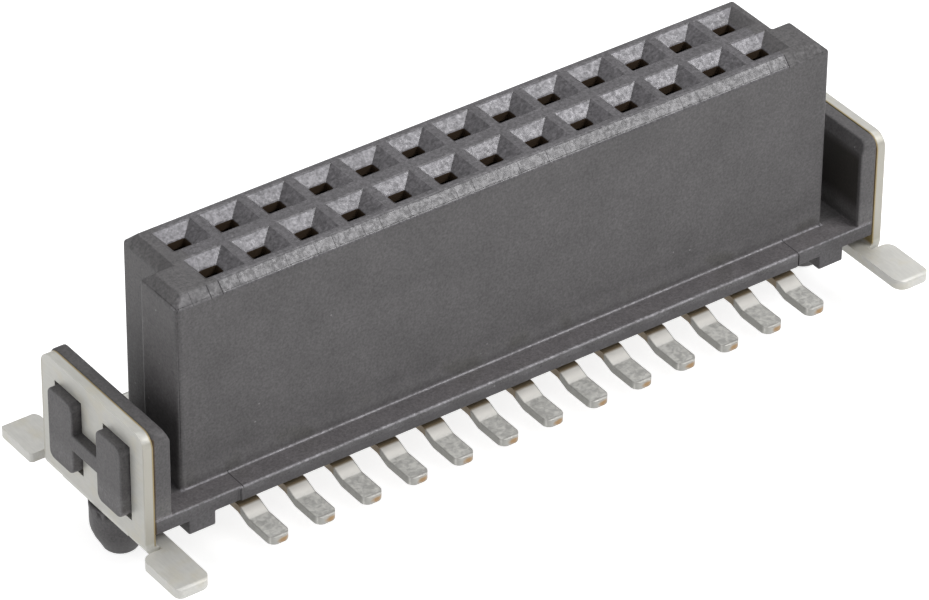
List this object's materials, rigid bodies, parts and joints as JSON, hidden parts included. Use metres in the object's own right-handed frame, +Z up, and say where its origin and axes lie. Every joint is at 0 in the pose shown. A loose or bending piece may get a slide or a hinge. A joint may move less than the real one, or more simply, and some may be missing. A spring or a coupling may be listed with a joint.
{
  "type": "board-to-board socket connector",
  "caption": "Upright two-row surface-mount socket connector: black moulded block with funnelled contact slots, gull-wing tails, end walls with metal hold-down plates and locating pegs.",
  "frame": {"origin": "on the board's surface, midway between the two contact rows and midway between the ends", "axes": "+X along the contact rows, towards the right end in the picture; +Y across the rows, from the front row to the rear row; +Z up, away from the board, out of the socket's mouth"},
  "size_m": [0.0214, 0.0075, 0.0072],
  "materials": {
    "housing": "moulded glass-filled liquid crystal polymer, black, fine spark-eroded texture",
    "hold_down": "copper alloy sheet with matte tin plating",
    "contact": "copper alloy strip with matte tin plating on the tails"
  },
  "bodies": {
    "root": {"housing": "housing", "hold_down_left": "hold_down", "hold_down_right": "hold_down", "contact_front_01": "contact", "contact_front_02": "contact", "contact_front_03": "contact", "contact_front_04": "contact", "contact_front_05": "contact", "contact_front_06": "contact", "contact_front_07": "contact", "contact_front_08": "contact", "contact_front_09": "contact", "contact_front_10": "contact", "contact_front_11": "contact", "contact_front_12": "contact", "contact_front_13": "contact", "contact_rear_01": "contact", "contact_rear_02": "contact", "contact_rear_03": "contact", "contact_rear_04": "contact", "contact_rear_05": "contact", "contact_rear_06": "contact", "contact_rear_07": "contact", "contact_rear_08": "contact", "contact_rear_09": "contact", "contact_rear_10": "contact", "contact_rear_11": "contact", "contact_rear_12": "contact", "contact_rear_13": "contact"}
  },
  "joints": []
}
